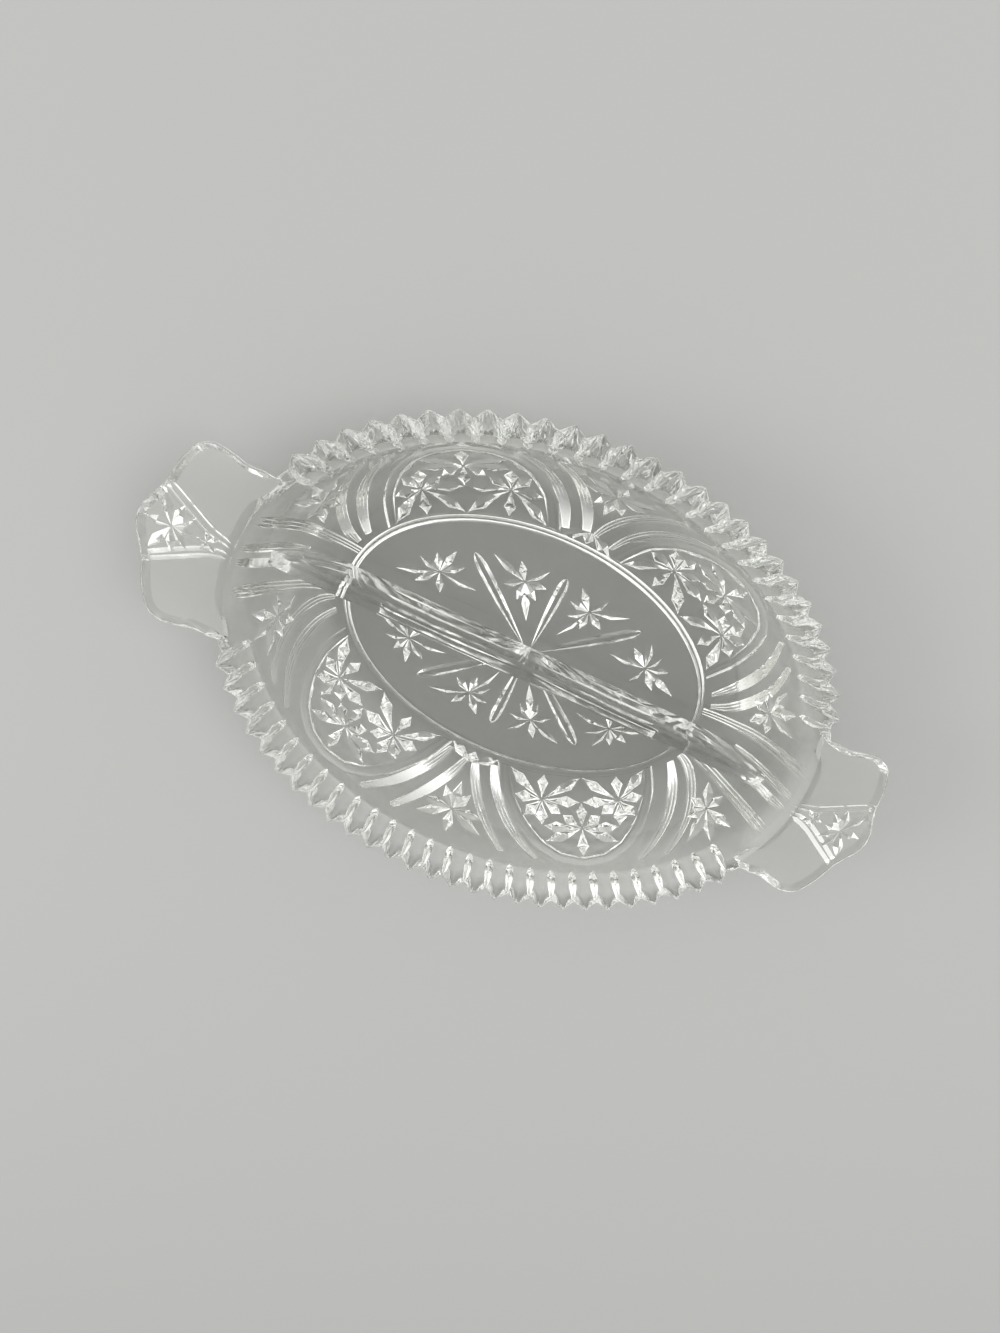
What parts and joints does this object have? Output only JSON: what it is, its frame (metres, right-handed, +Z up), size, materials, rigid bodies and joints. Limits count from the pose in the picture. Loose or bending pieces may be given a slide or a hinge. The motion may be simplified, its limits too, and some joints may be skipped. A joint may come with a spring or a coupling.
{
  "type": "relish tray",
  "caption": "Oval pressed-glass relish tray with a divider between its compartments, a toothed rim and two tab handles, for serving pickles, olives and relishes.",
  "frame": {"origin": "centre of the foot ring's resting face, on the table", "axes": "+X along the tray through both handles, +Y across it, +Z up out of the compartments"},
  "size_m": [0.275, 0.171, 0.042],
  "materials": {
    "glass": "polished"
  },
  "bodies": {
    "root": {"floor_plate": "glass", "foot_ring": "glass", "divider": "glass", "arch_panel_front_left": "glass", "arch_panel_front_right": "glass", "arch_panel_rear_left": "glass", "arch_panel_rear_right": "glass", "corner_panel_front_left": "glass", "corner_panel_front_right": "glass", "corner_panel_rear_left": "glass", "corner_panel_rear_right": "glass", "side_panel_front": "glass", "side_panel_rear": "glass", "end_panel_left": "glass", "end_panel_right": "glass", "fluted_band_front": "glass", "fluted_band_rear": "glass", "rim_end_left": "glass", "rim_end_right": "glass", "handle_left": "glass", "handle_right": "glass"}
  },
  "joints": []
}
